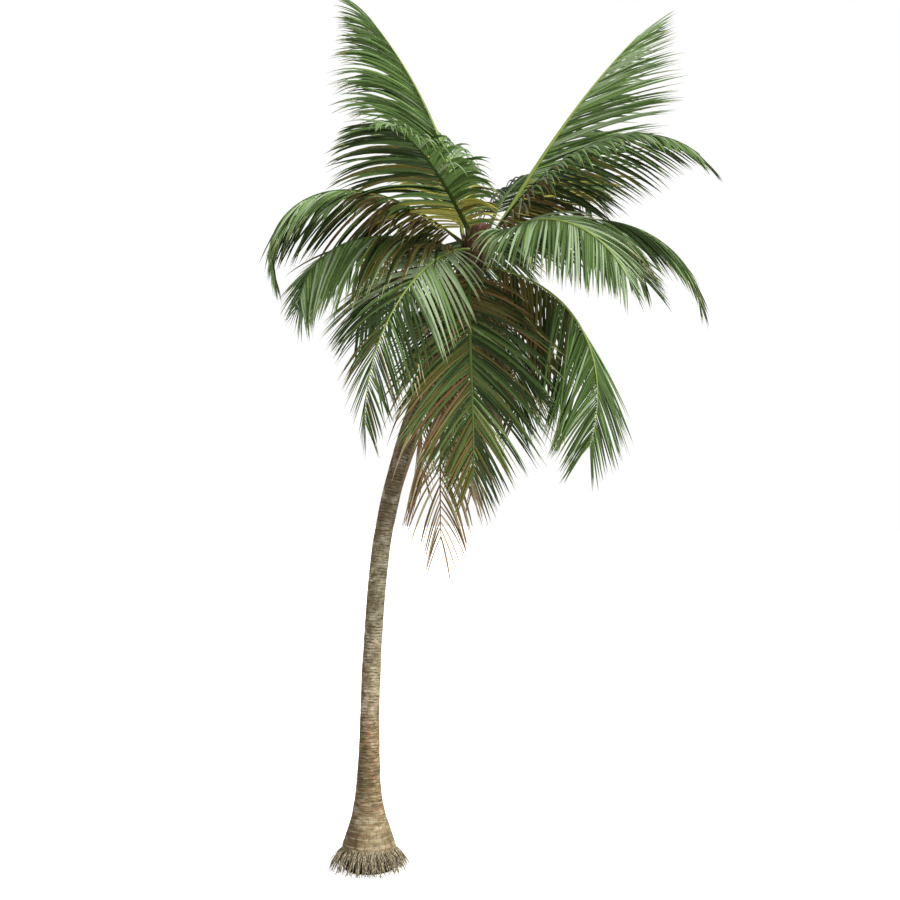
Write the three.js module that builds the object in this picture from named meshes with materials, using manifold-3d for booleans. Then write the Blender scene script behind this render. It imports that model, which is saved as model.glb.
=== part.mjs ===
// Coconut palm, about 12 m tall: a leaning ringed trunk with a flared bole, a skirt of prop
// roots round its foot, old leaf bases and fibre under the crown, and a crown of feathered fronds.
// Millimetres, +Z up. The trunk stands on the ground at the origin and leans towards +X.
import * as THREE from 'three';
import { mergeVertices } from 'three/addons/utils/BufferGeometryUtils.js';
import Module from 'manifold-3d';

const wasm = await Module();
wasm.setup();

// Driving dimensions

const CLEAR = 0.4; // left between two pieces that meet
const LEAFLET_CLEAR = 5; // a leaflet that would come nearer than this to another piece is left off
const OWN_CLEAR = 1; // the same between two leaflets of one frond
const PARTED_TURN = 75; // a frond that bends more than this, in degrees, is parted at its bend
const FIRST_PARTING = 3; // and never before this pair of leaflets

// The trunk's middle line as x and z: upright in its lower third, then leaning, and turning up again
const TRUNK_LINE = [
  [0, 0], [0, 1500], [45, 3000], [145, 4250], [290, 5080], [525, 5950],
  [805, 6730], [1090, 7420], [1360, 8150], [1530, 8760],
];
// The trunk's radius by distance along that line: foot, rim of the bole, bole, shaft, leaf sheaths
const TRUNK_RADII = [
  [0, 330], [250, 350], [330, 368], [420, 340], [540, 300], [730, 238], [950, 194], [1200, 166],
  [1600, 146], [2150, 132], [3200, 128], [4600, 125], [6000, 123], [7700, 126], [8450, 146], [8900, 132],
];
const TRUNK_SIDES = 20;
const SHAFT_FROM = 2150; // above this the shaft is plain
const TRUNK_STEP = 420; // between its rings

const ROOT_COUNT = 32;
const ROOT_RIM = { low: 235, high: 335, radius: 378 }; // the welt that the roots grow from
const ROOT_REACH = 505; // how far a long root lands from the axis
const ROOT_THICK = 15;

const HEART = { height: 170, radius: 116, tip: 60 }; // the fibre-wrapped bud above the trunk's end

const BASES = { count: 7, low: 900, high: 1330, width: 120, thick: 44, length: 230, lean: 60 };

// A frond's blade, the same rule for every frond
const PAIRS = 16; // leaflets on each side, each standing for two or three of the plant's
const PETIOLE = 0.085; // bare share of the rib
const RIB_WIDTH = { seat: 105, blade: 52, tip: 13 };
const RIB_THICK = { seat: 62, blade: 36, tip: 10 };
const LEAFLET_LENGTH = 1400;
const LEAFLET_THICK = 18;
const LEAFLET_ANGLE = { first: 62, last: 22 }; // between rib and leaflet, in degrees
const SEAT_RADIUS = 78; // where a rib starts, from the trunk's middle line
const SEAT_SLOPE = 25; // steepest slope, up or down, at which a rib leaves the trunk

// The fronds, by where they show. bearing: 0 is +X, 90 is +Y; sweep: how far it turns by the tip;
// climb and fall: slope of the rib at its start and tip; bend: over 1 keeps the rib straight for
// longer; seat: distance below the trunk's end; roll: turns the blade about its rib, left side up;
// fold: how far the first leaflets stand up from flat, or hang below it; furl: the same at the tip;
// droop: how much they hang, the small ones near the tip less; spread: over 1 opens their angle to
// the rib; leaf: their length.
const FRONDS = [
  { name: 'frond_rising_near', bearing: 240, sweep: 2, climb: 41, fall: -11, bend: 1.9, length: 2950,
    seat: 110, fold: -12, furl: -11, droop: 0.53, spread: 1.04, leaf: 1.03 },
  { name: 'frond_rising_left', bearing: 155, climb: 88, fall: 50, bend: 0.75, length: 3800, seat: 170,
    roll: -10, fold: -73, furl: -90, spread: 0.62, leaf: 1.25 },
  { name: 'frond_rising_back', bearing: 128, climb: 79, fall: -10, bend: 1.6, length: 3100, seat: 90,
    leaf: 0.8 },
  { name: 'frond_rising_right', bearing: 14, climb: 58, fall: 45, bend: 2, length: 3800, seat: 110, fold: -60,
    droop: 0.2, leaf: 1.2 },
  { name: 'frond_rising_far', bearing: 50, climb: 70, fall: -35, bend: 1.2, length: 3300, seat: 200 },
  { name: 'frond_arching_right', bearing: -32, sweep: -5, climb: 50, fall: -41, bend: 1.62, length: 3780,
    seat: 190, roll: -7, fold: -38, furl: -16, droop: 0.34, spread: 1.25, leaf: 0.86 },
  { name: 'frond_level_right', bearing: -8, climb: 27, fall: -71, bend: 1.55, length: 3450, seat: 270,
    roll: 8, fold: -20, droop: 0.6 },
  { name: 'frond_leaning_right', bearing: -57, sweep: 10, climb: 24, fall: -58, bend: 1.3, length: 3250,
    seat: 300, roll: 20, fold: 10, furl: -45, droop: 0.6, spread: 1.1, leaf: 0.9 },
  { name: 'frond_drooping_right', bearing: -17, sweep: -42, climb: -12, fall: -118, bend: 1.32, length: 3550,
    seat: 440, roll: 16, fold: -85, furl: -8, droop: 0.3, spread: 1.08, leaf: 1.15 },
  { name: 'frond_drooping_left', bearing: 244, sweep: -37, climb: 1, fall: -92, bend: 0.9, length: 3700,
    seat: 250, roll: -28, fold: -7, furl: -52, droop: 0.42, spread: 1.22, leaf: 0.84 },
  { name: 'frond_arching_left', bearing: 196, sweep: 6, climb: 34, fall: -101, bend: 2, length: 3650,
    seat: 190, roll: 19, fold: -44, furl: -28, droop: 0.52, spread: 1.1, leaf: 0.9 },
  { name: 'frond_level_left', bearing: 206, climb: 14, fall: -82, bend: 2.1, length: 2900, seat: 325,
    roll: -17, fold: 5, furl: -70, droop: 0.6, leaf: 1.05 },
  { name: 'frond_hanging_front', bearing: -96, sweep: 24, climb: -20, fall: -92, bend: 0.5, length: 3300,
    seat: 450, fold: 5, droop: 0.4, spread: 1.15, leaf: 1.1 },
  { name: 'frond_arching_back', bearing: 86, climb: 36, fall: -60, bend: 1, length: 3800, seat: 310 },
  { name: 'frond_arching_back_left', bearing: 138, climb: 36, fall: -46, bend: 1, length: 3600, seat: 370 },
  { name: 'frond_arching_back_right', bearing: 38, climb: 38, fall: -42, bend: 1, length: 3600, seat: 330 },
  { name: 'frond_drooping_back', bearing: 95, climb: 2, fall: -94, bend: 0.9, length: 3800, seat: 480 },
  { name: 'frond_drooping_back_right', bearing: 62, climb: -4, fall: -94, bend: 0.8, length: 2700,
    seat: 570 },
  { name: 'frond_drooping_back_left', bearing: 138, climb: 18, fall: -56, bend: 1, length: 2500, seat: 500 },
  { name: 'frond_dry_left', bearing: 206, climb: -25, fall: -94, bend: 0.3, length: 3000, seat: 560,
    leaf: 0.75, dry: true },
  { name: 'frond_dry_front', bearing: -112, climb: -25, fall: -94, bend: 0.35, length: 3850, seat: 600,
    droop: 1.1, leaf: 1.15, dry: true },
  { name: 'frond_dry_back', bearing: 84, climb: -25, fall: -92, bend: 0.35, length: 3200, seat: 640,
    leaf: 0.75, dry: true },
];
const USUAL = { sweep: 0, roll: 0, fold: -15, droop: 0.5, spread: 1, leaf: 1, dry: false };
const USUAL_FURL = 0.6; // a frond without a furl of its own keeps this share of its fold

const bark = new THREE.MeshStandardMaterial({ color: 0x8d8270, roughness: 0.9 });
const rootBark = new THREE.MeshStandardMaterial({ color: 0x8a7c68, roughness: 0.92 });
const fibre = new THREE.MeshStandardMaterial({ color: 0x6d4f3a, roughness: 0.95 });
const leafGreen = new THREE.MeshStandardMaterial({ color: 0x3f6b35, roughness: 0.55 });
const leafDry = new THREE.MeshStandardMaterial({ color: 0x8a6a45, roughness: 0.85 });

// Small helpers

const radians = THREE.MathUtils.degToRad;
const lerp = THREE.MathUtils.lerp;
const UP = new THREE.Vector3(0, 0, 1);

// Numbers from 0 to 1 that are the same in every run
function seeded(seed) {
  let state = seed;
  return () => {
    state = (state * 1664525 + 1013904223) % 4294967296;
    return state / 4294967296;
  };
}

// The value at x on a line through [x, value] pairs
function along(pairs, x) {
  const next = Math.max(1, pairs.findIndex(([at]) => at >= x));
  const [x0, v0] = pairs[next - 1];
  const [x1, v1] = pairs[next];
  return lerp(v0, v1, THREE.MathUtils.clamp((x - x0) / (x1 - x0), 0, 1));
}

function toSolid(geometry) {
  const plain = geometry.clone();
  plain.deleteAttribute('normal');
  plain.deleteAttribute('uv');
  const merged = mergeVertices(plain, 1e-3);
  return new wasm.Manifold(new wasm.Mesh({
    numProp: 3,
    vertProperties: merged.attributes.position.array,
    triVerts: new Uint32Array(merged.index.array),
  }));
}

function toGeometry(solid) {
  const mesh = solid.getMesh();
  const geometry = new THREE.BufferGeometry();
  const position = new Float32Array(mesh.numVert * 3);
  for (let v = 0; v < mesh.numVert; v += 1) {
    position.set(mesh.vertProperties.slice(v * mesh.numProp, v * mesh.numProp + 3), v * 3);
  }
  geometry.setAttribute('position', new THREE.BufferAttribute(position, 3));
  geometry.setIndex(new THREE.BufferAttribute(mesh.triVerts, 1));
  return geometry;
}

// A cut can leave a scrap beside the piece itself
function largest(solid) {
  return solid.decompose().sort((a, b) => b.volume() - a.volume())[0];
}

function geometryOf(points, faces) {
  const geometry = new THREE.BufferGeometry().setFromPoints(points);
  geometry.setIndex(faces);
  return geometry;
}

// Two triangles for the corners a, b, c, d of a face seen from outside
function quad(a, b, c, d) {
  return [a, b, c, a, c, d];
}

// A closed tapering limb with a round section along a curve
function limb(curve, steps, sides, radiusAt) {
  const frames = curve.computeFrenetFrames(steps, false);
  const points = [];
  const faces = [];
  for (let i = 0; i <= steps; i += 1) {
    const centre = curve.getPointAt(i / steps);
    for (let k = 0; k < sides; k += 1) {
      const turn = (2 * Math.PI * k) / sides;
      points.push(centre.clone()
        .addScaledVector(frames.normals[i], Math.cos(turn) * radiusAt(i / steps))
        .addScaledVector(frames.binormals[i], Math.sin(turn) * radiusAt(i / steps)));
    }
  }
  for (let i = 0; i < steps; i += 1) {
    for (let k = 0; k < sides; k += 1) {
      const next = (k + 1) % sides;
      faces.push(...quad(i * sides + k, i * sides + next, (i + 1) * sides + next, (i + 1) * sides + k));
    }
  }
  const last = steps * sides;
  for (let k = 1; k < sides - 1; k += 1) {
    faces.push(0, k + 1, k);
    faces.push(last, last + k, last + k + 1);
  }
  return geometryOf(points, faces);
}

// The trunk: rings set square to its middle line

const trunkCurve = new THREE.CatmullRomCurve3(
  TRUNK_LINE.map(([x, z]) => new THREE.Vector3(x, 0, z)), false, 'centripetal');
trunkCurve.arcLengthDivisions = 800;
const TRUNK_LENGTH = trunkCurve.getLength();

// A point beside the trunk's middle line, at a distance along it, a radius and a turn about it
function besideTrunk(distance, radius, turn) {
  const share = distance / TRUNK_LENGTH;
  const centre = trunkCurve.getPointAt(THREE.MathUtils.clamp(share, 0, 1));
  const tangent = trunkCurve.getTangentAt(THREE.MathUtils.clamp(share, 0, 1));
  if (distance <= TRUNK_RADII[1][0]) tangent.copy(UP);
  if (distance > TRUNK_LENGTH) centre.addScaledVector(tangent, distance - TRUNK_LENGTH);
  if (distance < 0) centre.z = distance;
  const across = new THREE.Vector3(0, 1, 0).cross(tangent).normalize();
  return centre
    .addScaledVector(across, radius * Math.cos(turn))
    .add(new THREE.Vector3(0, radius * Math.sin(turn), 0));
}

// A turned shape round the trunk's line from [distance, radius] pairs, from its foot to its head
function turned(profile, sides) {
  const points = [];
  const faces = [];
  for (const [distance, radius] of profile) {
    for (let k = 0; k < sides; k += 1) {
      points.push(besideTrunk(distance, radius, (2 * Math.PI * k) / sides));
    }
  }
  for (let i = 0; i < profile.length - 1; i += 1) {
    for (let k = 0; k < sides; k += 1) {
      const next = (k + 1) % sides;
      faces.push(...quad(i * sides + k, i * sides + next, (i + 1) * sides + next, (i + 1) * sides + k));
    }
  }
  const last = (profile.length - 1) * sides;
  for (let k = 1; k < sides - 1; k += 1) {
    faces.push(0, k + 1, k);
    faces.push(last, last + k, last + k + 1);
  }
  return geometryOf(points, faces);
}

function trunkProfile(grown, beyond) {
  const stops = TRUNK_RADII.map(([distance]) => distance).filter((distance) => distance < TRUNK_LENGTH);
  for (let at = SHAFT_FROM; at < TRUNK_LENGTH - TRUNK_STEP / 2; at += TRUNK_STEP) {
    if (stops.every((stop) => Math.abs(stop - at) > TRUNK_STEP / 3)) stops.push(at);
  }
  stops.push(TRUNK_LENGTH);
  stops.sort((a, b) => a - b);
  const profile = stops.map((distance) => [distance, along(TRUNK_RADII, distance) + grown]);
  if (beyond > 0) {
    profile.unshift([-beyond, profile[0][1]]);
    profile.push([TRUNK_LENGTH + beyond, profile.at(-1)[1]]);
  }
  return profile;
}

const trunk = toSolid(turned(trunkProfile(0, 0), TRUNK_SIDES));
const trunkSpace = toSolid(turned(trunkProfile(CLEAR, CLEAR), TRUNK_SIDES));

// The skirt of prop roots: a welt round the bole and thin roots that arch from it to the ground

function rootSkirt() {
  const random = seeded(11);
  const welt = [
    [ROOT_RIM.low, ROOT_RIM.radius - 30], [ROOT_RIM.low + 30, ROOT_RIM.radius],
    [ROOT_RIM.high - 20, ROOT_RIM.radius], [ROOT_RIM.high, ROOT_RIM.radius - 14],
  ];
  const pieces = [toSolid(turned(welt, TRUNK_SIDES))];
  for (let k = 0; k < ROOT_COUNT; k += 1) {
    const turn = (2 * Math.PI * (k + 0.5 * random())) / ROOT_COUNT;
    const reach = ROOT_REACH * (k % 2 ? 1 : 0.88) * (0.95 + 0.1 * random());
    const start = ROOT_RIM.high - 45 - 30 * (k % 2);
    const at = (radius, z) => new THREE.Vector3(radius * Math.cos(turn), radius * Math.sin(turn), z);
    const curve = new THREE.CubicBezierCurve3(
      at(ROOT_RIM.radius - 22, start), at(lerp(ROOT_RIM.radius, reach, 0.6), start - 30),
      at(reach, start * 0.5), at(reach + 8, -20));
    pieces.push(toSolid(limb(curve, 3, 3, (share) => ROOT_THICK * lerp(1, 0.75, share))));
  }
  return wasm.Manifold.union(pieces).subtract(trunkSpace).trimByPlane([0, 0, 1], 0);
}

// The bud at the trunk's end, wrapped in brown fibre

function heart() {
  const profile = [
    [TRUNK_LENGTH + CLEAR, HEART.radius * 0.95], [TRUNK_LENGTH + HEART.height * 0.4, HEART.radius],
    [TRUNK_LENGTH + HEART.height * 0.75, HEART.radius * 0.75], [TRUNK_LENGTH + HEART.height, HEART.tip],
  ];
  return toSolid(turned(profile, 12));
}

// Old leaf bases under the crown: stubs round the trunk, joined by the fibre they grew from

function leafBases() {
  const sleeveLow = TRUNK_LENGTH - BASES.high;
  const sleeveHigh = TRUNK_LENGTH - BASES.low;
  const radius = along(TRUNK_RADII, sleeveHigh);
  const sleeve = [
    [sleeveLow, radius + 10], [sleeveLow + 60, radius + 24],
    [sleeveHigh - 60, radius + 28], [sleeveHigh, radius + 12],
  ];
  const pieces = [toSolid(turned(sleeve, TRUNK_SIDES))];
  for (let k = 0; k < BASES.count; k += 1) {
    const turn = (2 * Math.PI * k * 2) / BASES.count;
    const low = lerp(sleeveLow + 40, sleeveHigh - 200, k / (BASES.count - 1));
    const centre = besideTrunk(low, radius, turn);
    const out = besideTrunk(low + BASES.length, radius + BASES.lean, turn).sub(centre);
    const stub = new THREE.CylinderGeometry(BASES.width * 0.34, BASES.width * 0.5, BASES.length, 5);
    stub.scale(1, 1, BASES.thick / BASES.width * 1.4);
    stub.translate(0, BASES.length / 2, 0);
    const across = new THREE.Vector3(-Math.sin(turn), Math.cos(turn), 0);
    const rise = out.normalize();
    const side = new THREE.Vector3().crossVectors(rise, across).normalize();
    across.crossVectors(side, rise);
    stub.applyMatrix4(new THREE.Matrix4().makeBasis(across, rise, side.negate()).setPosition(centre));
    pieces.push(toSolid(stub));
  }
  return wasm.Manifold.union(pieces).subtract(trunkSpace);
}

// A frond's rib as places from the trunk to the tip, each with its forward, left and upper direction

function ribPlaces(frond, shares) {
  const FINE = 240;
  const seatSlope = THREE.MathUtils.clamp(frond.climb, -SEAT_SLOPE, SEAT_SLOPE);
  const seatDistance = TRUNK_LENGTH - frond.seat;
  const axis = trunkCurve.getPointAt(seatDistance / TRUNK_LENGTH);
  const turn = radians(frond.bearing);
  const point = axis.add(new THREE.Vector3(Math.cos(turn), Math.sin(turn), 0).multiplyScalar(SEAT_RADIUS));
  const places = [];
  let done = 0;
  for (let i = 0; i <= FINE; i += 1) {
    const share = i / FINE;
    const free = lerp(frond.climb, frond.fall, share ** frond.bend);
    const slope = radians(lerp(seatSlope, free, THREE.MathUtils.smoothstep(share, 0, 0.06)));
    const bearing = radians(frond.bearing + frond.sweep * share);
    const forward = new THREE.Vector3(
      Math.cos(slope) * Math.cos(bearing), Math.cos(slope) * Math.sin(bearing), Math.sin(slope));
    const left = new THREE.Vector3(-Math.sin(bearing), Math.cos(bearing), 0);
    const upper = new THREE.Vector3().crossVectors(forward, left);
    const roll = radians(frond.roll) * THREE.MathUtils.smoothstep(share, 0.03, 0.3);
    left.applyAxisAngle(forward, roll);
    upper.applyAxisAngle(forward, roll);
    while (done < shares.length && shares[done] <= share + 1e-9) {
      places.push({ share, point: point.clone(), forward, left, upper });
      done += 1;
    }
    point.addScaledVector(forward, frond.length / FINE);
  }
  return places;
}

// How a leaflet runs: `leafed` is its place on the leafy part of the rib, 0 at the trunk, 1 at the tip

function leafletPath(frond, place, leafed, side, stops) {
  const FINE = 12;
  const angle = radians(frond.spread * lerp(LEAFLET_ANGLE.first, LEAFLET_ANGLE.last, leafed ** 0.9));
  const fold = radians(lerp(frond.fold, frond.furl ?? frond.fold * USUAL_FURL, leafed));
  const length = LEAFLET_LENGTH * frond.leaf * leafletShare(leafed);
  const start = place.left.clone().multiplyScalar(Math.cos(fold) * side)
    .addScaledVector(place.upper, Math.sin(fold))
    .multiplyScalar(Math.sin(angle))
    .addScaledVector(place.forward, Math.cos(angle));
  const droop = 1.6 * frond.droop * lerp(1, 0.55, THREE.MathUtils.smoothstep(leafed, 0.5, 1));
  const path = [];
  const point = place.point.clone();
  for (let i = 0; i <= FINE; i += 1) {
    const share = i / FINE;
    const forward = start.clone().addScaledVector(UP, -droop * share ** 1.3).normalize();
    if (stops.some((stop) => Math.abs(stop - share) < 0.5 / FINE)) path.push({ point: point.clone(), forward });
    point.addScaledVector(forward, length / FINE);
  }
  return path;
}

// Leaflets are short at the first pair, longest at a third of the blade, and short again at the tip
function leafletShare(leafed) {
  const growing = lerp(0.62, 1, THREE.MathUtils.smoothstep(leafed, 0, 0.25));
  const shrinking = lerp(1, 0.42, THREE.MathUtils.smoothstep(leafed, 0.4, 1.05));
  return growing * shrinking;
}

function ribSize(sizes, share) {
  if (share < PETIOLE) return lerp(sizes.seat, sizes.blade, share / PETIOLE);
  return lerp(sizes.blade, sizes.tip, (share - PETIOLE) / (1 - PETIOLE));
}

// The four corners of the rib at a place: left upper, right upper, right lower, left lower
function ribCorners(place) {
  const wide = ribSize(RIB_WIDTH, place.share) / 2;
  const thick = ribSize(RIB_THICK, place.share) / 2;
  return [[1, 1], [-1, 1], [-1, -1], [1, -1]].map(([across, over]) => place.point.clone()
    .addScaledVector(place.left, across * wide)
    .addScaledVector(place.upper, over * thick));
}

// The rib's stations: the petiole, then a start and an end for each pair of leaflets
function ribShares(frond) {
  const shares = [0, 0.018, 0.036, 0.06];
  const pitch = (1 - PETIOLE) / PAIRS;
  for (let pair = 0; pair < PAIRS; pair += 1) {
    const leafed = pair / (PAIRS - 1);
    const narrow = Math.sin(radians(lerp(LEAFLET_ANGLE.first, LEAFLET_ANGLE.last, leafed)));
    const from = PETIOLE + pitch * pair;
    shares.push(from, from + pitch * lerp(0.74, 0.5, leafed) * Math.max(narrow, 0.8));
  }
  shares.push(1);
  return shares;
}

// One leaflet on the rib's face between two stations: the four corners of its root, four at its
// widest and its tip
function leafletPoints(frond, before, after, root, pair, side) {
  const leafed = pair / (PAIRS - 1);
  const middle = { point: before.point.clone().lerp(after.point, 0.5), forward: before.forward,
    left: before.left, upper: before.upper };
  const [, waist, tip] = leafletPath(frond, middle, leafed, side, [0, 0.42, 1]);
  const angle = radians(lerp(LEAFLET_ANGLE.first, LEAFLET_ANGLE.last, leafed));
  const pitch = frond.length * (1 - PETIOLE) / PAIRS;
  const wide = pitch * Math.sin(angle) * 0.36;
  const across = middle.forward.clone().addScaledVector(waist.forward, -waist.forward.dot(middle.forward));
  across.normalize();
  const over = new THREE.Vector3().crossVectors(across, waist.forward).multiplyScalar(side);
  const corner = (a, o) => waist.point.clone()
    .addScaledVector(across, a * wide).addScaledVector(over, o * LEAFLET_THICK / 2);
  const waistCorners = side > 0
    ? [corner(-1, -1), corner(-1, 1), corner(1, 1), corner(1, -1)]
    : [corner(-1, 1), corner(-1, -1), corner(1, -1), corner(1, 1)];
  return [...root, ...waistCorners, tip.point];
}

const LEAFLET_SIDES = [0, 1, 2, 3].flatMap((k) => {
  const next = (k + 1) % 4;
  return [...quad(k, next, 4 + next, 4 + k), 4 + k, 4 + next, 8];
});

function boxesTouch(a, b) {
  const boxA = a.box;
  const boxB = b.box;
  return [0, 1, 2].every((i) => boxA.min[i] - LEAFLET_CLEAR < boxB.max[i]
    && boxB.min[i] - LEAFLET_CLEAR < boxA.max[i]);
}

function nearAny(candidate, pieces, clear = LEAFLET_CLEAR) {
  return pieces.some((piece) => boxesTouch(candidate, piece)
    && candidate.solid.minGap(piece.solid, clear) < clear * 0.99);
}

function boxed(solid) {
  return { solid, box: solid.boundingBox() };
}

// The bare rib as a closed solid, to keep the leaflets of other fronds clear of it
function bareRib(places) {
  const points = places.flatMap(ribCorners);
  const faces = [...quad(1, 0, 3, 2)];
  for (let i = 0; i < places.length - 1; i += 1) {
    for (let k = 0; k < 4; k += 1) {
      const next = (k + 1) % 4;
      faces.push(...quad(4 * i + k, 4 * i + next, 4 * i + 4 + next, 4 * i + 4 + k));
    }
  }
  const last = 4 * (places.length - 1);
  faces.push(...quad(last, last + 1, last + 2, last + 3));
  return toSolid(geometryOf(points, faces));
}

// The stretch of a frond between two stations: the rib's four faces, with a leaflet in place of a
// side face wherever one fits
function frondStretch(frond, places, from, to, taken) {
  const stations = places.slice(from, to + 1);
  if (from > 0) stations[0] = { ...stations[0], point: stations[0].point.clone() };
  if (from > 0) stations[0].point.addScaledVector(stations[0].forward, CLEAR);
  const points = stations.flatMap(ribCorners);
  const faces = [...quad(1, 0, 3, 2)];
  const leaflets = [];
  const firstPair = places.length - 1 - 2 * PAIRS - from;
  for (let i = 0; i < stations.length - 1; i += 1) {
    for (let k = 0; k < 4; k += 1) {
      const next = (k + 1) % 4;
      const face = [4 * i + k, 4 * i + next, 4 * i + 4 + next, 4 * i + 4 + k];
      const leafy = i >= firstPair && (i - firstPair) % 2 === 0 && k % 2 === 1;
      const own = leafy && leafletPoints(frond, stations[i], stations[i + 1],
        face.map((corner) => points[corner]), (i - firstPair) / 2, k === 3 ? 1 : -1);
      const leaflet = own && boxed(toSolid(geometryOf(own, [...quad(3, 2, 1, 0), ...LEAFLET_SIDES])));
      if (!own || nearAny(leaflet, taken) || nearAny(leaflet, leaflets, OWN_CLEAR)) {
        faces.push(...quad(...face));
        continue;
      }
      leaflets.push(leaflet);
      const added = points.length;
      points.push(...own.slice(4));
      faces.push(...LEAFLET_SIDES.map((index) => (index < 4 ? face[index] : added + index - 4)));
    }
  }
  const last = 4 * (stations.length - 1);
  faces.push(...quad(last, last + 1, last + 2, last + 3));
  const whole = toSolid(geometryOf(points, faces));
  return { solid: from > 0 ? whole : largest(whole.subtract(trunkSpace)), leaflets };
}

// A frond that bends round a wide gap is two stretches, parted between two pairs where its slope
// is halfway from climb to fall
function stretchesOf(frond, places) {
  const end = places.length - 1;
  if (frond.climb - frond.fall < PARTED_TURN) return [[frond.name, 0, end]];
  const firstPair = end - 2 * PAIRS;
  const halfway = 0.5 ** (1 / frond.bend);
  const bendStation = places.findIndex(({ share }) => share > halfway);
  const pair = Math.max(FIRST_PARTING, Math.floor((bendStation - firstPair) / 2));
  const parting = firstPair + 2 * pair;
  return [[`${frond.name}_base`, 0, parting], [`${frond.name}_tip`, parting, end]];
}

// The assembly

const palm = new THREE.Group();
palm.name = 'coconut_palm';

function place(name, solid, material) {
  const mesh = new THREE.Mesh(toGeometry(solid), material);
  mesh.name = name;
  palm.add(mesh);
}

const skirt = rootSkirt();
const bud = heart();
const bases = leafBases();
place('trunk', trunk, bark);
place('root_skirt', skirt, rootBark);
place('bud_fibre', bud, fibre);
place('old_leaf_bases', bases, fibre);

const fronds = FRONDS.map((given) => {
  const frond = { ...USUAL, ...given };
  const places = ribPlaces(frond, ribShares(frond));
  return { frond, places, rib: boxed(bareRib(places)) };
});
const taken = [trunk, skirt, bud, bases].map(boxed);
for (const { frond, places, rib } of fronds) {
  const otherRibs = fronds.map((other) => other.rib).filter((other) => other !== rib);
  for (const [name, from, to] of stretchesOf(frond, places)) {
    const { solid, leaflets } = frondStretch(frond, places, from, to, [...taken, ...otherRibs]);
    taken.push(...leaflets);
    place(name, solid, frond.dry ? leafDry : leafGreen);
  }
}

export default palm;
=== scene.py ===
# %% [markdown]
# # A tall coconut palm
#
# The palm's solids are already made and packed: a leaning trunk, a skirt of prop roots, a bud, old
# leaf bases, and a crown of fronds, each a rib with a few broad blades. They hold the sizes. This
# lesson replaces each with a finer piece that grows by the same rule, inside the same reach.

# %% Load the solids
import math

import bpy
import numpy as np
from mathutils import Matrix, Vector


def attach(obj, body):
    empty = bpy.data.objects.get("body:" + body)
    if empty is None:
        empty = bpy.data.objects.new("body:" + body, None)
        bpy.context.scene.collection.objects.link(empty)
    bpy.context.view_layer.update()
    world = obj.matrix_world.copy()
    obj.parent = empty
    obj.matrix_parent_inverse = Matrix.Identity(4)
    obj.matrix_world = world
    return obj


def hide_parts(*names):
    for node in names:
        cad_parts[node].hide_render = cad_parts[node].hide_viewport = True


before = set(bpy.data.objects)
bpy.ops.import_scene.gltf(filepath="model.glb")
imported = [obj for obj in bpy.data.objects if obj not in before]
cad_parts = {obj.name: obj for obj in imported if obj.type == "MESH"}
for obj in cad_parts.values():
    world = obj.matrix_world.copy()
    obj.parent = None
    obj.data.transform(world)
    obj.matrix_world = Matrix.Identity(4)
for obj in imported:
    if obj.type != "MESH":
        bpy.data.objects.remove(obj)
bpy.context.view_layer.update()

# %% [markdown]
# ## Camera, floor and light
#
# The picture was taken level, from far enough away that the trunk hardly narrows with height, so the
# camera stands 20 m off at about half the palm's height. The floor is a plain white disc that glows a
# little, so that the shadow on it stays faint. The light is soft daylight from the right, over
# the camera's shoulder. The sky shows white behind the palm, and its light is brighter from above and
# the right, so that the trunk has a dark side and the crown a dark heart.

# %% Camera
CAMERA_PLACE = (1.118, -20.0, 5.77)
CAMERA_LENS = 57.96

bpy.ops.object.camera_add(location=CAMERA_PLACE, rotation=(math.pi / 2, 0, 0))
camera = bpy.context.object
camera.data.lens = CAMERA_LENS
camera.data.sensor_width = 36
bpy.context.scene.camera = camera


# %% Small helpers for materials
def new_material(name, roughness, sheen=0.5):
    """A material with its node tree and its shader, ready for a pattern."""
    material = bpy.data.materials.new(name)
    material.use_nodes = True
    tree = material.node_tree
    shader = tree.nodes["Principled BSDF"]
    shader.inputs["Roughness"].default_value = roughness
    shader.inputs["Specular IOR Level"].default_value = sheen
    return material, tree, shader


def linear(colour):
    """A colour written as #rrggbb, as the linear numbers that a shader takes."""
    parts = [int(colour[k:k + 2], 16) / 255 for k in (1, 3, 5)]
    return (*[v / 12.92 if v < 0.04045 else ((v + 0.055) / 1.055) ** 2.4 for v in parts], 1)


def add_node(tree, kind, **settings):
    """A node of that kind. A setting named after an input sets that input, or links a socket to it."""
    node = tree.nodes.new("ShaderNode" + kind)
    for name, value in settings.items():
        if hasattr(node, name):
            setattr(node, name, value)
            continue
        plug(node.inputs[name.replace("_", " ")], value)
    return node


def plug(socket, value):
    """Links a socket to an input, or sets the input to a number, a vector or a #rrggbb colour."""
    if isinstance(value, bpy.types.NodeSocket):
        socket.id_data.links.new(value, socket)
    else:
        socket.default_value = linear(value) if isinstance(value, str) else value


# %% Helpers for patterns: they add to the tree of the socket that they are given
def add_ramp(factor, stops):
    """A colour ramp through (place, colour) pairs."""
    ramp = add_node(factor.id_data, "ValToRGB", Fac=factor)
    for place, _ in stops[2:]:
        ramp.color_ramp.elements.new(place)
    for element, (place, colour) in zip(ramp.color_ramp.elements, sorted(stops)):
        element.position = place
        element.color = linear(colour)
    return ramp.outputs["Color"]


def add_mix(factor, first, second):
    """A mix of two colours, each a socket or #rrggbb."""
    mix = add_node(factor.id_data, "Mix", data_type="RGBA")
    for socket, value in zip((mix.inputs[0], mix.inputs[6], mix.inputs[7]), (factor, first, second)):
        plug(socket, value)
    return mix.outputs[2]


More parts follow.
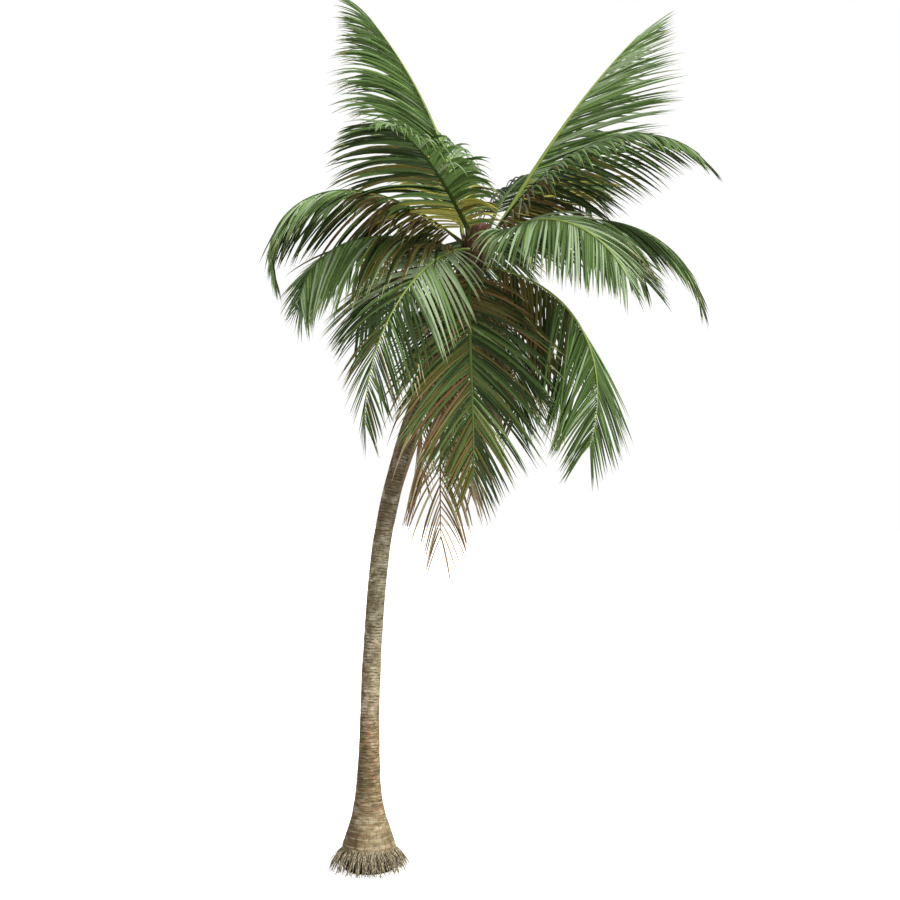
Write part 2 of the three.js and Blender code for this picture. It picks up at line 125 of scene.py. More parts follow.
def add_noise(place, stretch, detail=3.0, roughness=0.55):
    """Noise over a place, with its cells' number to the metre given for x, y and z."""
    mapping = add_node(place.id_data, "Mapping", Vector=place, Scale=stretch)
    noise = add_node(place.id_data, "TexNoise", Vector=mapping.outputs["Vector"], Scale=1.0, Detail=detail)
    noise.inputs["Roughness"].default_value = roughness
    return noise.outputs["Fac"]


def add_span(value, low, high, from_value=0.0, to_value=1.0):
    """A number that goes from one value to another while the given one goes from low to high."""
    span = add_node(value.id_data, "MapRange", Value=value)
    ends = {"From Min": low, "From Max": high, "To Min": from_value, "To Max": to_value}
    for name, number in ends.items():
        span.inputs[name].default_value = number
    return span.outputs[0]


def add_math(tree, operation, first, second=0.0):
    """One or two numbers, sockets or plain, put through a sum or another operation."""
    node = add_node(tree, "Math", operation=operation)
    plug(node.inputs[0], first)
    plug(node.inputs[1], second)
    return node.outputs[0]


def times(first, *others):
    """The product of several sockets."""
    for other in others:
        first = add_math(first.id_data, "MULTIPLY", first, other)
    return first


def lay_over(tone, colour, value, low, high, share):
    """Lays a colour over the tone, more as a value goes from low to high, and at most that share."""
    return add_mix(add_span(value, low, high, 0.0, share), tone, colour)


def streaky(name, roughness, sheen, stretch, stops):
    """A finish with streaks of a few colours."""
    material, tree, shader = new_material(name, roughness, sheen)
    place = add_node(tree, "TexCoord").outputs["Object"]
    tone = add_ramp(add_noise(place, stretch), stops)
    plug(shader.inputs["Base Color"], tone)
    return material


# %% Floor and light
SKY_SHOWN = 1.0
SKY_LIGHT = (0.16, 0.95)
SKY_BRIGHT_SIDE = (0.42, -0.3, 0.86)
SUN_STRENGTH = 3.3
SUN_SOFTNESS = math.radians(11)
SUN_TURN = (math.radians(44), 0, math.radians(50))
SUN_PLACE = (8, -10, 16)
FLOOR = {"radius": 90, "sides": 96, "height": -0.002, "glow": 0.7}

bpy.ops.mesh.primitive_circle_add(vertices=FLOOR["sides"], radius=FLOOR["radius"], fill_type="NGON",
                                  location=(0, 0, FLOOR["height"]))
floor = bpy.context.object
floor.name = "floor"
floor_material, tree, shader = new_material("pale_floor", 0.9)
plug(shader.inputs["Base Color"], "#f4f3f0")
plug(shader.inputs["Emission Color"], (1, 1, 1, 1))
glow_seen = add_node(tree, "LightPath").outputs["Is Camera Ray"]
plug(shader.inputs["Emission Strength"], add_span(glow_seen, 0, 1, 0, FLOOR["glow"]))
floor.data.materials.append(floor_material)

world = bpy.data.worlds.new("sky")
bpy.context.scene.world = world
world.use_nodes = True
tree = world.node_tree
facing = add_node(tree, "VectorMath", operation="DOT_PRODUCT")
plug(facing.inputs[0], add_node(tree, "TexCoord").outputs["Generated"])
plug(facing.inputs[1], SKY_BRIGHT_SIDE)
shine = add_span(facing.outputs["Value"], -1, 1, *SKY_LIGHT)
seen = add_node(tree, "LightPath").outputs["Is Camera Ray"]
strength = add_node(tree, "Mix", data_type="FLOAT", Factor=seen)
plug(strength.inputs[2], shine)
plug(strength.inputs[3], SKY_SHOWN)
plug(tree.nodes["Background"].inputs["Strength"], strength.outputs[0])
plug(tree.nodes["Background"].inputs["Color"], (1, 1, 1, 1))

bpy.ops.object.light_add(type="SUN", location=SUN_PLACE, rotation=SUN_TURN)
sun = bpy.context.object
sun.data.energy = SUN_STRENGTH
sun.data.angle = SUN_SOFTNESS
bpy.context.scene.view_settings.view_transform = "Standard"
print("sun:", SUN_STRENGTH, "sky:", SKY_LIGHT)

# %% [markdown]
# ## Shared geometry
#
# The trunk's middle line is the same spline that the solids follow, because the crown sits on its end.
# Leaflets, ribs, roots and fibres are all closed tapering tubes, and a fibre sheet is a very flat one,
# so one function turns rings of points into tubes, and another makes a piece of them.

# %% The trunk's line and radius, in metres
TRUNK_LINE = np.array([
    (0, 0, 0), (0, 0, 1.5), (0.045, 0, 3), (0.145, 0, 4.25), (0.29, 0, 5.08), (0.525, 0, 5.95),
    (0.805, 0, 6.73), (1.09, 0, 7.42), (1.36, 0, 8.15), (1.53, 0, 8.76)])
TRUNK_RADII = np.array([
    (0, 0.33), (0.25, 0.35), (0.33, 0.368), (0.42, 0.34), (0.54, 0.3), (0.73, 0.238), (0.95, 0.194),
    (1.2, 0.166), (1.6, 0.146), (2.15, 0.132), (3.2, 0.128), (4.6, 0.125), (6, 0.123), (7.7, 0.126),
    (8.45, 0.146), (8.9, 0.132)])
UP = np.array([0.0, 0.0, 1.0])


def smooth_line(stops, steps=120):
    """The centripetal spline through the stops, as many short steps."""
    stops = np.vstack([2 * stops[0] - stops[1], stops, 2 * stops[-1] - stops[-2]])
    t = np.linspace(0, 1, steps, endpoint=False)[:, None]
    line = []
    for a, b, c, d in zip(stops, stops[1:], stops[2:], stops[3:]):
        ab, bc, cd = (np.linalg.norm(far - near) ** 0.5 for near, far in ((a, b), (b, c), (c, d)))
        leave = ((b - a) / ab - (c - a) / (ab + bc) + (c - b) / bc) * bc
        arrive = ((c - b) / bc - (d - b) / (bc + cd) + (d - c) / cd) * bc
        line.append(b + leave * t + (3 * (c - b) - 2 * leave - arrive) * t**2
                    + (2 * (b - c) + leave + arrive) * t**3)
    return np.vstack([*line, stops[-2]])


def unit(vectors):
    return vectors / np.linalg.norm(vectors, axis=-1, keepdims=True)


def turned(first, second, angle):
    """Two directions, turned by an angle in their own plane."""
    cos, sin = np.cos(angle), np.sin(angle)
    return first * cos + second * sin, second * cos - first * sin


trunk_line = smooth_line(TRUNK_LINE)
trunk_run = np.concatenate([[0], np.cumsum(np.linalg.norm(np.diff(trunk_line, axis=0), axis=1))])
trunk_heading = unit(np.gradient(trunk_line, axis=0))
TRUNK_LENGTH = trunk_run[-1]


def about_axis(radius, turn, height):
    """Points at a radius and a turn about the upright axis, and at a height."""
    return np.stack([radius * np.cos(turn), radius * np.sin(turn), height + 0 * turn], -1)


def along_line(distance, values):
    """The vector at a distance along the trunk, from one vector for each point of its line."""
    return np.stack([np.interp(distance, trunk_run, values[:, k]) for k in range(3)], -1)


def trunk_radius(distance):
    return np.interp(distance, *TRUNK_RADII.T)


def beside_trunk(distance, radius, turn):
    """Points beside the trunk's line, at a distance along it, a radius and a turn about it."""
    heading = unit(along_line(distance, trunk_heading))
    across = unit(np.cross([0.0, 1.0, 0.0], heading))
    beyond = np.maximum(distance - TRUNK_LENGTH, 0)[..., None] * heading
    out = across * np.cos(turn)[..., None] + np.array([0, 1, 0]) * np.sin(turn)[..., None]
    return along_line(distance, trunk_line) + beyond + out * np.asarray(radius)[..., None]


print("trunk:", round(TRUNK_LENGTH, 2), "m along its line")


# %% Tubes, sheets and pieces
def smoothstep(x, low=0.0, high=1.0):
    t = np.clip((x - low) / (high - low), 0, 1)
    return t * t * (3 - 2 * t)


def mix(a, b, t):
    return a + (b - a) * t


def tubes(rings):
    """Points and faces of closed tubes, from rings[tube, place along, place round] that turn
    right-handed about the way the tube runs."""
    count, along, around, _ = rings.shape
    index = np.arange(count * along * around).reshape(count, along, around)
    near, far = index[:, :-1], index[:, 1:]
    sides = np.stack([near, np.roll(near, -1, 2), np.roll(far, -1, 2), far], -1).reshape(-1, 4)
    ends = np.concatenate([index[:, 0, ::-1], index[:, -1]])
    return rings.reshape(-1, 3), sides.tolist() + ends.tolist()


def round_tubes(paths, radii, sides):
    """Closed round tubes along paths[tube, place], with radii[tube, place]."""
    heading = unit(np.gradient(paths, axis=1))
    helper = np.where(np.abs(heading[:, :1, 2:]) > 0.9, [[[1.0, 0, 0]]], [[[0, 0, 1.0]]])
    across = unit(np.cross(heading, helper))
    over = np.cross(heading, across)
    turn = np.linspace(0, math.tau, sides, endpoint=False)[:, None]
    out = across[:, :, None] * np.cos(turn) + over[:, :, None] * np.sin(turn)
    return tubes(paths[:, :, None] + out * radii[:, :, None, None])


def sheets(grid, thick):
    """Points and faces of thin closed sheets, from grid[sheet, place along, place across]."""
    normal = unit(np.cross(np.gradient(grid, axis=2), np.gradient(grid, axis=1)))
    front, back = grid + normal * thick / 2, grid - normal * thick / 2
    return tubes(np.concatenate([front, back[:, :, ::-1]], axis=2))


def make_piece(name, parts, material, replaced, smooth_angle):
    """One piece of several (points, faces), with its finish, that stands for those solids."""
    points, faces, first = [], [], 0
    for part_points, part_faces in parts:
        points.append(part_points)
        faces += [[first + corner for corner in face] for face in part_faces]
        first += len(part_points)
    mesh = bpy.data.meshes.new(name)
    mesh.from_pydata(np.vstack(points).tolist(), [], faces)
    piece = bpy.data.objects.new(name, mesh)
    bpy.context.scene.collection.objects.link(piece)
    finish_piece(piece, material, replaced, smooth_angle)


def finish_piece(piece, material, replaced, smooth_angle):
    """Smooths a piece, gives it its finish and seats it in the frame."""
    bpy.ops.object.select_all(action="DESELECT")
    piece.select_set(True)
    bpy.context.view_layer.objects.active = piece
    bpy.ops.object.shade_smooth_by_angle(angle=math.radians(smooth_angle))
    piece.data.materials.append(material)
    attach(piece, "root")
    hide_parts(*replaced)
    print(piece.name, len(piece.data.polygons), "faces")


# %% [markdown]
# ## The trunk
#
# A coconut trunk has no bark to peel. Each fallen frond leaves a ring scar, a shallow groove under a
# low lip, and the rings wander, fade and crowd as the palm grew faster or slower. A sheet is laid out
# flat, wrapped round the trunk's line and pushed in and out ring by ring.

# %% Wander: smooth random numbers that join up all the way round
def wander(turn, height, cells_round, cells_up, seed):
    """Smooth random numbers from -1 to 1. turn is in radians and height is from 0 to 1."""
    grid = np.random.default_rng(seed).uniform(-1, 1, (cells_up + 2, cells_round))
    x = turn / math.tau % 1 * cells_round
    y = np.clip(height, 0, 1) * cells_up
    column, row = np.floor(x).astype(int), np.floor(y).astype(int)
    right, up = smoothstep(x - column), smoothstep(y - row)
    left, next_one = column % cells_round, (column + 1) % cells_round
    lower = mix(grid[row, left], grid[row, next_one], right)
    upper = mix(grid[row + 1, left], grid[row + 1, next_one], right)
    return mix(lower, upper, up)


# %% Wrap a sheet round the trunk's line
BARK_ROUND = 84
BARK_UP = 1050

bpy.ops.mesh.primitive_grid_add(x_subdivisions=BARK_ROUND, y_subdivisions=BARK_UP, size=1)
bark = bpy.context.object
bark.name = "trunk_bark"
flat = np.empty(len(bark.data.vertices) * 3)
bark.data.vertices.foreach_get("co", flat)
flat = flat.reshape(-1, 3)
bark_turn = (flat[:, 0] + 0.5) * math.tau + math.pi / 2
bark_height = flat[:, 1] + 0.5
bark_distance = bark_height * TRUNK_LENGTH

# %% Ring scars and swellings
RING_SPACING = np.array([
    (0, 0.1), (0.5, 0.085), (0.9, 0.056), (1.6, 0.043), (4, 0.04), (7, 0.046), (9, 0.05)])
RING_STEPS = 4000
FOOT_ENDS = (0.45, 1.3)
GROOVE = {"deep": 0.004, "wide": 0.14}
LIP = {"high": 0.003, "wide": 0.11, "place": 0.8}


def on_bark(size, cells_round, cells_up, seed):
    """Smooth random numbers up to a size, in so many cells round the bark and up it."""
    return size * wander(bark_turn, bark_height, cells_round, cells_up, seed)


fine = np.linspace(0, TRUNK_LENGTH, RING_STEPS)
ring_count = np.cumsum(1 / np.interp(fine, *RING_SPACING.T)) * (fine[1] - fine[0])
foot = 1 - smoothstep(bark_distance, *FOOT_ENDS)
ring = np.interp(bark_distance, fine, ring_count)
ring += on_bark(0.1, 5, 90, seed=1)
ring += on_bark(0.2 + 0.5 * foot, 3, 40, seed=2)
ring += on_bark(0.05, 17, 300, seed=3)
in_ring = ring % 1
near_scar = np.minimum(in_ring, 1 - in_ring)
scar_strength = np.clip(0.5 + on_bark(0.8, 9, 230, seed=4), 0.05, 1)
groove = np.exp(-(near_scar / GROOVE["wide"]) ** 2) * scar_strength
lip = np.exp(-((in_ring - LIP["place"]) / LIP["wide"]) ** 2)
swelling = on_bark(0.004, 4, 30, seed=6) + on_bark(0.001, 20, 420, seed=7)

# %% Folds of the swollen foot
FOLDS = [  # turn in degrees, depth as a share, and the height where it ends
    (246, 1.0, 0.6), (312, 0.4, 0.46), (20, 0.8, 0.66), (78, 0.5, 0.5), (133, 0.9, 0.7), (196, 0.6, 0.5)]
FOLD = {"wide": 0.075, "deep": 0.016, "wobble": 0.16, "from": (0.2, 0.32), "fade": 0.15}

folds = np.zeros_like(bark_turn)
for number, (fold_turn, deep, fold_top) in enumerate(FOLDS):
    wobble = FOLD["wobble"] * wander(0, bark_height, 3, 45, 50 + number)
    away = (bark_turn - math.radians(fold_turn) - wobble + math.pi) % math.tau - math.pi
    fold = deep * np.exp(-(away / FOLD["wide"]) ** 2)
    fold *= 1 - smoothstep(bark_distance, fold_top - FOLD["fade"], fold_top)
    folds = np.maximum(folds, fold * smoothstep(bark_distance, *FOLD["from"]))

relief = (LIP["high"] * lip * (0.5 + foot) * scar_strength - GROOVE["deep"] * groove
          - FOLD["deep"] * folds + swelling)
wrapped = beside_trunk(bark_distance, trunk_radius(bark_distance) + relief, bark_turn)
wrapped[:, 2] = np.where(bark_distance < 1e-6, 0, wrapped[:, 2])
bark.data.vertices.foreach_set("co", wrapped.ravel())

# %% Numbers that the finish reads at each point
SHEET_RADIUS = 0.15

for name, values in (("ring", ring), ("scar", scar_strength), ("fold", folds)):
    attribute = bark.data.attributes.new(name, "FLOAT", "POINT")
    attribute.data.foreach_set("value", values.astype(np.float32))
upright = about_axis(SHEET_RADIUS, bark_turn, bark_distance)
attribute = bark.data.attributes.new("upright", "FLOAT_VECTOR", "POINT")
attribute.data.foreach_set("vector", upright.astype(np.float32).ravel())

# %% Close the sheet into a trunk
bpy.ops.object.mode_set(mode="EDIT")
bpy.ops.mesh.select_all(action="SELECT")
bpy.ops.mesh.remove_doubles(threshold=1e-5)
bpy.ops.mesh.fill_holes(sides=0)
bpy.ops.mesh.select_all(action="SELECT")
bpy.ops.mesh.normals_make_consistent(inside=False)
bpy.ops.object.mode_set(mode="OBJECT")
print("bark:", len(bark.data.vertices), "points,", round(ring_count[-1]), "rings")

# %% [markdown]
# Old bark is brown low down, paler and greyer in the middle, and dull olive under the crown, where algae
# and a painted shadow of the crown darken it. It has fine streaks along the rings, a broken dark line in
# each scar that is partly painted shade in its groove, pale lips on the foot, brown patches and stains
# that gather on the left as painted shade, bleached patches and a little rust. Painted shade also darkens
# the folds of the foot and the foot under the roots. The pattern reads the place on the upright sheet, so
# that it runs square to the leaning trunk and has no seam.

# %% The bark's finish
STREAK_STOPS = (0.3, 0.42, 0.5, 0.58, 0.7)
# The tones under the crown are dark from algae and from a painted shadow of the crown.
BARK_TONES = [  # low down, in the middle, and under the crown
    ("#3c3120", "#625136", "#7e6d4e", "#978565", "#b7a786"),
    ("#5a5240", "#857b61", "#9f967b", "#b3aa90", "#c8c0a8"),
    ("#3b3322", "#574c38", "#6a6049", "#7a715a", "#918871")]

bark_material, tree, shader = new_material("ringed_bark", 0.88, 0.25)
sheet = add_node(tree, "Attribute", attribute_name="upright").outputs["Vector"]
sheet_parts = add_node(tree, "SeparateXYZ", Vector=sheet)
height = sheet_parts.outputs["Z"]
rings_up, scar_share, fold_depth = (
    add_node(tree, "Attribute", attribute_name=name).outputs["Fac"] for name in ("ring", "scar", "fold"))
ring_place = add_math(tree, "FRACT", rings_up)

streaks = add_noise(sheet, (8, 8, 58), detail=4, roughness=0.62)
low_tone, middle_tone, crown_shadow_and_algae_tone = (
    add_ramp(streaks, list(zip(STREAK_STOPS, tones))) for tones in BARK_TONES)
blotches = add_noise(sheet, (3, 3, 2.2))
uneven_height = add_math(tree, "ADD", height, add_span(blotches, 0.3, 0.7, -0.45, 0.45))
tone = add_mix(add_span(uneven_height, 1.9, 3.1), low_tone, middle_tone)
# Under the crown the bark darkens: algae, and a painted shadow of the crown.
tone = add_mix(add_span(uneven_height, 4.4, 5.0), tone, crown_shadow_and_algae_tone)

panels = add_noise(sheet, (10, 10, 9), detail=4, roughness=0.6)
foot_tone = add_ramp(panels, [
    (0.34, "#635640"), (0.46, "#847657"), (0.55, "#9e9072"), (0.68, "#b9ad92")])
tone = add_mix(add_span(height, 0.5, 0.95, 0.72, 0.0), tone, foot_tone)

# %% Patches and stains in the bark's colour, more of them on the left as painted shade
# The left side, away from the light, gets more dark patches and stains: painted shade.
painted_shade_left = add_span(sheet_parts.outputs["X"], -0.16, 0.12, 0.1, -0.05)
patches = add_math(tree, "ADD", add_noise(sheet, (5, 5, 4.2), detail=4, roughness=0.7), painted_shade_left)
tone = lay_over(tone, "#534a31", patches, 0.47, 0.6, share=0.7)
stains = add_math(tree, "ADD", add_noise(sheet, (7, 7, 13), detail=4, roughness=0.65), painted_shade_left)
tone = lay_over(tone, "#46381f", stains, 0.52, 0.66, share=0.72)
bleached = add_noise(sheet, (5, 5, 7))
tone = lay_over(tone, "#c3bca4", bleached, 0.57, 0.72, share=0.5)
rust = add_noise(sheet, (8, 8, 20))
low_down = add_span(height, 1.6, 2.6, 1.0, 0.25)
rusty = times(add_span(rust, 0.54, 0.68, 0.0, 0.62), low_down)
tone = add_mix(rusty, tone, "#8a5c41")

# %% Scars and lips in the bark's colour, with painted shade in grooves, folds and under the roots
# The dark scar line is partly the scar's own colour and partly painted shade in its groove.
to_scar = add_math(tree, "MINIMUM", ring_place, add_math(tree, "SUBTRACT", 1.0, ring_place))
broken = add_span(add_noise(sheet, (11, 11, 24)), 0.42, 0.54)
scar_and_groove_shade = times(add_span(to_scar, 0.05, 0.19, 1.0, 0.0), broken,
                  add_span(scar_share, 0.0, 0.75, 0.35, 1.0), add_span(height, 0.5, 1.1, 0.3, 1.0))
tone = add_mix(scar_and_groove_shade, tone, "#2e2415")
to_lip = add_math(tree, "ABSOLUTE", add_math(tree, "SUBTRACT", ring_place, 0.78))
on_foot = add_span(height, 0.6, 1.2, 0.75, 0.2)
worn_lip = add_span(add_noise(sheet, (9, 9, 5), detail=2), 0.42, 0.58, 0.25, 1.0)
lip_line = times(add_span(to_lip, 0.01, 0.05, 1.0, 0.0), on_foot, worn_lip)
tone = add_mix(lip_line, tone, "#c2b797")
upright_streaks = add_noise(sheet, (75, 75, 7), detail=2)
streaked = times(add_span(upright_streaks, 0.5, 0.62, 0.0, 0.62), add_span(height, 0.5, 0.9, 1.0, 0.15))
tone = add_mix(streaked, tone, "#5f5036")
# The folds are darkened: painted shade in the creases of the foot.
tone = lay_over(tone, "#4d4228", fold_depth, 0.1, 0.9, share=0.75)
# Below the welt the foot is painted near black: painted shade in the gaps between the roots.
tone = add_mix(add_span(height, 0.17, 0.23, 0.92, 0.0), tone, "#231b10")
plug(shader.inputs["Base Color"], tone)
grain = add_noise(sheet, (80, 80, 40))
bump = add_node(tree, "Bump", Height=grain, Strength=0.35, Distance=0.004)
plug(shader.inputs["Normal"], bump.outputs["Normal"])
finish_piece(bark, bark_material, ["trunk"], 60)

# %% [markdown]
# ## The skirt of prop roots
#
# Old coconut palms stand on a skirt of roots that sprout from the swollen foot, each as thick as a
# finger. They leave a welt round the foot, arch over and run down to the ground in three layers. Each
# gets its own reach and wiggle from a seeded draw, and some end just above the ground.

# %% Roots and the welt that they grow from
ROOT_COUNT = 340
ROOT_STEPS = 9
ROOT_SIDES = 6
ROOT_RADIUS = 0.0088
ROOT_RIM = {"high": 0.3, "radius": 0.362}
ROOT_REACH = 0.56
LAYER_REACH = (0.66, 0.99)
LAYER_DROP = 0.045
SHORT_ROOTS = 0.35
WIGGLE = {"outward": 0.011, "round": 0.05}

draw = np.random.default_rng(21)
root_turn = np.sort(draw.uniform(0, math.tau, ROOT_COUNT))
layer = np.sort(draw.integers(0, 3, ROOT_COUNT)) / 2
draw.shuffle(layer)
reach = ROOT_REACH * mix(*LAYER_REACH, layer) * draw.uniform(0.93, 1.03, ROOT_COUNT)
start = ROOT_RIM["high"] - LAYER_DROP * (1 - layer) - draw.uniform(0, 0.02, ROOT_COUNT)
short = draw.random(ROOT_COUNT) < SHORT_ROOTS
end = np.where(short, draw.uniform(0.01, 0.08, ROOT_COUNT), 0.004)
t = np.linspace(0, 1, ROOT_STEPS)[None, :]
root_radius = mix(ROOT_RIM["radius"] - 0.02, reach[:, None], t ** 0.85)
root_height = mix(start[:, None], end[:, None], t ** 1.35)
strayed = np.cumsum(draw.normal(0, 0.4, (ROOT_COUNT, ROOT_STEPS)), axis=1)
root_radius += WIGGLE["outward"] * strayed * t
strayed = np.cumsum(draw.normal(0, 0.5, (ROOT_COUNT, ROOT_STEPS)), axis=1)
root_round = root_turn[:, None] + WIGGLE["round"] * strayed * t
paths = about_axis(root_radius, root_round, root_height)
thick = ROOT_RADIUS * draw.uniform(0.65, 1.2, (ROOT_COUNT, 1)) * mix(1.0, 0.45, t**2)
root_points, root_faces = round_tubes(paths, thick, ROOT_SIDES)
root_points[:, 2] = np.maximum(root_points[:, 2], 0.0)

WELT_SIDES = 96
WELT_PROFILE = [(0.245, 0.33), (0.255, 0.35), (0.275, 0.36), (0.3, 0.366), (0.318, 0.366), (0.33, 0.345)]

welt_turn = np.linspace(0, math.tau, WELT_SIDES, endpoint=False)
knobs = 0.004 * wander(welt_turn, 0.5, 40, 2, 8)
rise = 0.014 * wander(welt_turn, 0.5, 9, 2, 9)
welt_high, welt_radius = np.array(WELT_PROFILE).T[..., None]
welt = tubes(about_axis(welt_radius + knobs, welt_turn, welt_high + rise)[None])
print("roots:", ROOT_COUNT, "reach", round(float(reach.max()), 3), "m")

# %% The roots' finish
root_material = streaky("dry_roots", 0.92, 0.2, (60, 60, 22), [
    (0.3, "#4c4131"), (0.46, "#776c55"), (0.58, "#9d9279"), (0.74, "#cac1aa")])
make_piece("prop_roots", [(root_points, root_faces), welt], root_material, ["root_skirt"], 60)

# %% [markdown]
# ## The crown's rule
#
# A frond is a rib that leaves the trunk, climbs and falls, with leaflets on both sides. The table
# says where it points, how it bends and how its leaflets hang. So far it is the table of the solids in
# metres and degrees, and the rule that turns a row of it into a rib is theirs. The rest is for looks:
# the colours of the two rows of leaflets, of base and end, how wide, sparse and clumped the leaflets
# are, how long the base is bare, and how slim or stout the rib is.

# %% The fronds
PETIOLE = 0.085
SEAT_RADIUS = 0.078
SEAT_SLOPE = 25
SEAT_EASE = (0, 0.06)
ROLL_EASE = (0.03, 0.3)
RIB_WIDTH = {"seat": 0.11, "blade": 0.066, "tip": 0.010}
RIB_THICK = {"seat": 0.062, "blade": 0.036, "tip": 0.008}
LEAFLET_LENGTH = 1.4
LEAFLET_ANGLE = (62, 22)
USUAL_FURL = 0.6

USUAL = dict(bend=1, sweep=0, roll=0, fold=-15, droop=0.5, spread=1, leaf=1, left="green", right="green",
             base="green", base_share=0.17, end="", end_share=0.55, end_wide=0.85, rib="green",
             slim=1, stout=1, wide=0.047, sparse=1, clump=3.5, bare=0, tips="pale", tip_chance=0.3)
DRY = dict(left="dry", right="dry", base="dry", rib="dry", sparse=1.9, tip_chance=0)
FRONDS = {"frond_" + name: dict(USUAL, **row) for name, row in {
    "rising_near": dict(bearing=240, sweep=2, climb=41, fall=-11, bend=1.9, length=2.95,
        seat=0.11, fold=-12, furl=-11, droop=0.53, spread=1.04, leaf=1.03,
        left="bright", right="shade", base="yellowing", rib="dark", slim=1.3, stout=1.2, wide=0.056),
    "rising_left": dict(bearing=155, climb=88, fall=50, bend=0.75, length=3.8,
        seat=0.17, roll=-10, fold=-73, furl=-90, spread=0.62, leaf=1.25,
        left="fresh", right="fresh", base="yellowing", rib="pale", clump=5),
    "rising_back": dict(bearing=128, climb=79, fall=-10, bend=1.6, length=3.1,
        seat=0.09, leaf=0.8, right="fresh", base="yellowing", rib="pale"),
    "rising_right": dict(bearing=14, climb=58, fall=45, bend=2, length=3.8,
        seat=0.11, fold=-60, droop=0.2, leaf=1.2,
        left="grey", right="grey", base="yellowing", rib="pale", slim=1.3, stout=1.9, clump=7),
    "rising_far": dict(bearing=50, climb=70, fall=-35, bend=1.2, length=3.3,
        seat=0.2, left="shade", right="shade", bare=0.12),
    "arching_right": dict(bearing=-32, sweep=-5, climb=50, fall=-41, bend=1.62, length=3.78,
        seat=0.19, roll=-7, fold=-38, furl=-16, droop=0.34, spread=1.25, leaf=0.86,
        left="shade", right="bright", base="rusty", base_share=0.24, rib="dark"),
    "level_right": dict(bearing=-8, climb=27, fall=-71, bend=1.55, length=3.45,
        seat=0.27, roll=8, fold=-20, droop=0.6, left="shade"),
    "leaning_right": dict(bearing=-57, sweep=10, climb=24, fall=-58, bend=1.3, length=3.25,
        seat=0.3, roll=20, fold=10, furl=-45, droop=0.6, spread=1.1, leaf=0.9,
        left="sage", right="grey", base="grey", rib="pale", wide=0.056, bare=0.07),
    "drooping_right": dict(bearing=-17, sweep=-42, climb=-12, fall=-118, bend=1.32,
        length=3.55, seat=0.44, roll=16, fold=-85, furl=-8, droop=0.3, spread=1.08, leaf=1.15,
        left="even", right="even", base="tawny", base_share=0.28, rib="pale", slim=0.7, wide=0.05),
    "drooping_left": dict(bearing=244, sweep=-37, climb=1, fall=-92, bend=0.9, length=3.7,
        seat=0.25, roll=-28, fold=-7, furl=-52, droop=0.42, spread=1.22, leaf=0.84,
        left="silver", right="silver", base="sage", end="shade", end_share=0.38, end_wide=0.7,
        rib="pale", slim=0.55, wide=0.053, sparse=1.2, bare=0.03, tips="straw", tip_chance=0.4),
    "arching_left": dict(bearing=196, sweep=6, climb=34, fall=-101, bend=2, length=3.65,
        seat=0.19, roll=19, fold=-44, furl=-28, droop=0.52, spread=1.1, leaf=0.9,
        left="fresh", right="shade", base="rusty", base_share=0.3),
    "level_left": dict(bearing=206, climb=14, fall=-82, bend=2.1, length=2.9,
        seat=0.325, roll=-17, fold=5, furl=-70, droop=0.6, leaf=1.05,
        right="grey", base="rusty", base_share=0.3, end="grey", end_share=0.42),
    "hanging_front": dict(bearing=-96, sweep=24, climb=-20, fall=-92, bend=0.5, length=3.3,
        seat=0.45, fold=5, droop=0.4, spread=1.15, leaf=1.1,
        left="shade", right="ageing", base="rusty", wide=0.05, tip_chance=0.2),
    "arching_back": dict(bearing=86, climb=36, fall=-60, length=3.8, seat=0.31),
    "arching_back_left": dict(bearing=138, climb=36, fall=-46, length=3.6, seat=0.37),
    "arching_back_right": dict(bearing=38, climb=38, fall=-42, length=3.6, seat=0.33),
    "drooping_back": dict(bearing=95, climb=2, fall=-94, bend=0.9, length=3.8, seat=0.48, base="rusty"),
    "drooping_back_right": dict(bearing=62, climb=-4, fall=-94, bend=0.8, length=2.7,
        seat=0.57, left="ageing", base="rusty"),
    "drooping_back_left": dict(bearing=138, climb=18, fall=-56, length=2.5, seat=0.5, base="rusty"),
    "dry_left": dict(DRY, bearing=206, climb=-25, fall=-94, bend=0.3, length=3.0,
        seat=0.56, leaf=0.75, wide=0.044, clump=8),
    "dry_front": dict(DRY, bearing=-112, climb=-25, fall=-94, bend=0.35, length=3.85,
        seat=0.6, droop=1.1, leaf=1.15, wide=0.044, sparse=2.6, clump=11),
    "dry_back": dict(DRY, bearing=84, climb=-25, fall=-92, bend=0.35, length=3.2, seat=0.64, leaf=0.75),
}.items()}
print("fronds:", len(FRONDS))


# %% From a row to a rib
def rib_rule(frond, steps=240):
    """The rib in even steps: its place, forward, left and upper direction at each share of it."""
    share = np.linspace(0, 1, steps + 1)
    seat_slope = np.clip(frond["climb"], -SEAT_SLOPE, SEAT_SLOPE)
    free = mix(frond["climb"], frond["fall"], share ** frond["bend"])
    slope = np.radians(mix(seat_slope, free, smoothstep(share, *SEAT_EASE)))
    bearing = np.radians(frond["bearing"] + frond["sweep"] * share)
    level = np.cos(slope)
    forward = np.stack([level * np.cos(bearing), level * np.sin(bearing), np.sin(slope)], -1)
    left = np.stack([-np.sin(bearing), np.cos(bearing), 0 * bearing], -1)
    upper = np.cross(forward, left)
    roll = np.radians(frond["roll"]) * smoothstep(share, *ROLL_EASE)[:, None]
    left, upper = turned(left, upper, roll)
    turn = math.radians(frond["bearing"])
    axis = along_line(TRUNK_LENGTH - frond["seat"], trunk_line)
    start = axis + SEAT_RADIUS * np.array([math.cos(turn), math.sin(turn), 0])
    run = np.vstack([np.zeros(3), np.cumsum(forward[:-1], axis=0) * frond["length"] / steps])
    return {"share": share, "point": start + run, "forward": forward, "left": left, "upper": upper}


